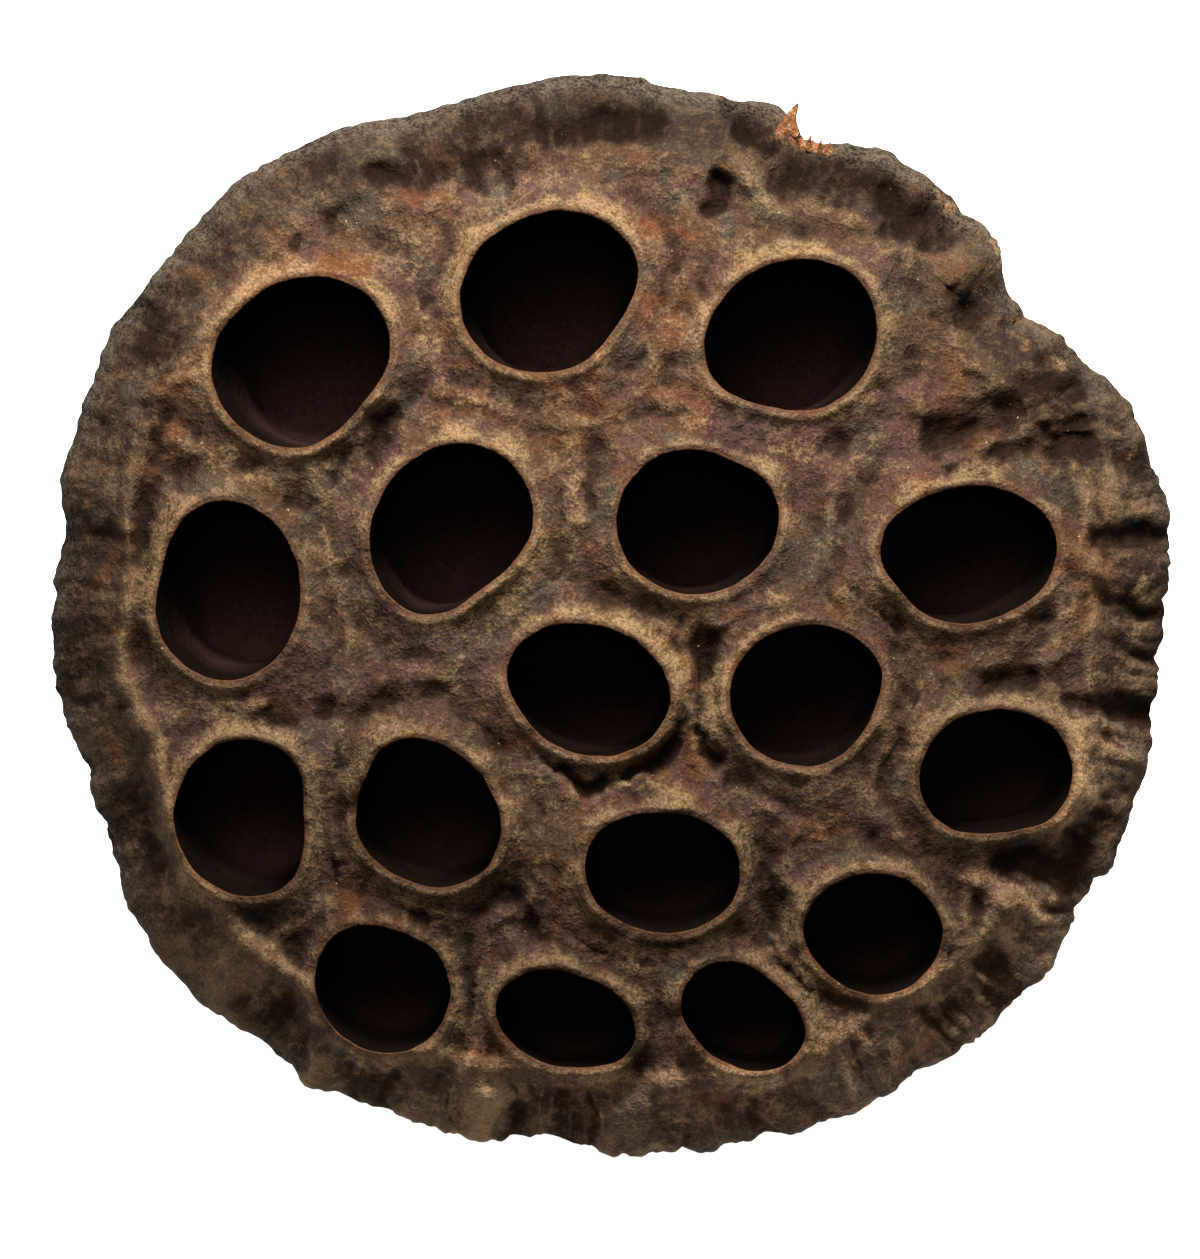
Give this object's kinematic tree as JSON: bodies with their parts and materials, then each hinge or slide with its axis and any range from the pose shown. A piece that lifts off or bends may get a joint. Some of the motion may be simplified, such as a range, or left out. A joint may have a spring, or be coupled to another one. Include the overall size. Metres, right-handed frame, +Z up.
{
  "type": "dried lotus pod",
  "caption": "Dried seed head with a domed, wrinkled face full of empty seed holes and a tapered underside, cut flush at the stem and standing face up.",
  "frame": {"origin": "on the surface the pod stands on, under the middle of its outline", "axes": "+Z up out of the face, +X along its widest way across, +Y the other way across the face"},
  "size_m": [0.0954, 0.0926, 0.0589],
  "materials": {
    "dried_pod": "matte, fibrous and mottled dark brown, with tan lips round the holes"
  },
  "bodies": {
    "root": {"lotus_pod": "dried_pod"}
  },
  "joints": []
}
